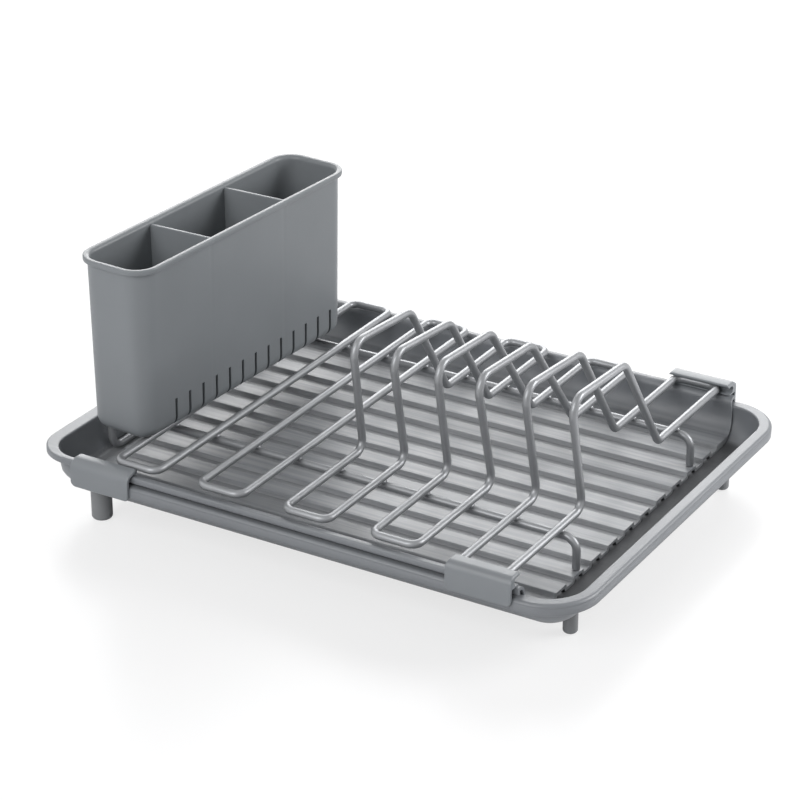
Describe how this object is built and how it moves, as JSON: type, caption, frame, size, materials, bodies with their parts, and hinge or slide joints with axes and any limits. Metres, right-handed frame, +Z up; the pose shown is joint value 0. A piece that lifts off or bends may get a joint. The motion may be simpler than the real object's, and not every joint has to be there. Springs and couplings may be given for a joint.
{
  "type": "sink drainer tray",
  "caption": "Extending dish drainer with nested ribbed drip trays, a bent wire plate rack on top and a lift-off cutlery caddy.",
  "frame": {"origin": "on the worktop, under the middle of the closed tray", "axes": "+X along the trays, the way the outer tray pulls out; +Y to the back; +Z up"},
  "size_m": [0.364, 0.2906, 0.1602],
  "materials": {
    "tray": "satin",
    "clip": "satin",
    "foot": "matte",
    "caddy": "satin",
    "wire": "satin silver coating"
  },
  "bodies": {
    "inner": {"inner_tray": "tray", "inner_foot_front": "foot", "inner_foot_back": "foot"},
    "outer": {"outer_tray": "tray", "outer_foot_front": "foot", "outer_foot_back": "foot", "guide_clip_front": "clip"},
    "rack": {"wire_loop_1": "wire", "wire_loop_2": "wire", "wire_loop_3": "wire", "wire_loop_4": "wire", "wire_loop_5": "wire", "front_bar": "wire", "back_bar": "wire", "caddy_rest_wire": "wire", "rack_clip_front": "clip", "rack_clip_back": "clip"},
    "caddy": {"cutlery_caddy": "caddy"}
  },
  "joints": [
    {"name": "tray_extend", "type": "slide", "parent": "inner", "child": "outer", "axis": [1, 0, 0], "range_m": [0, 0.19]},
    {"name": "rack_lift", "type": "slide", "parent": "inner", "child": "rack", "axis": [0, 0, 1], "range_m": [0, 0.06]},
    {"name": "caddy_lift", "type": "slide", "parent": "rack", "child": "caddy", "axis": [0, 0, 1], "range_m": [0, 0.08]}
  ]
}
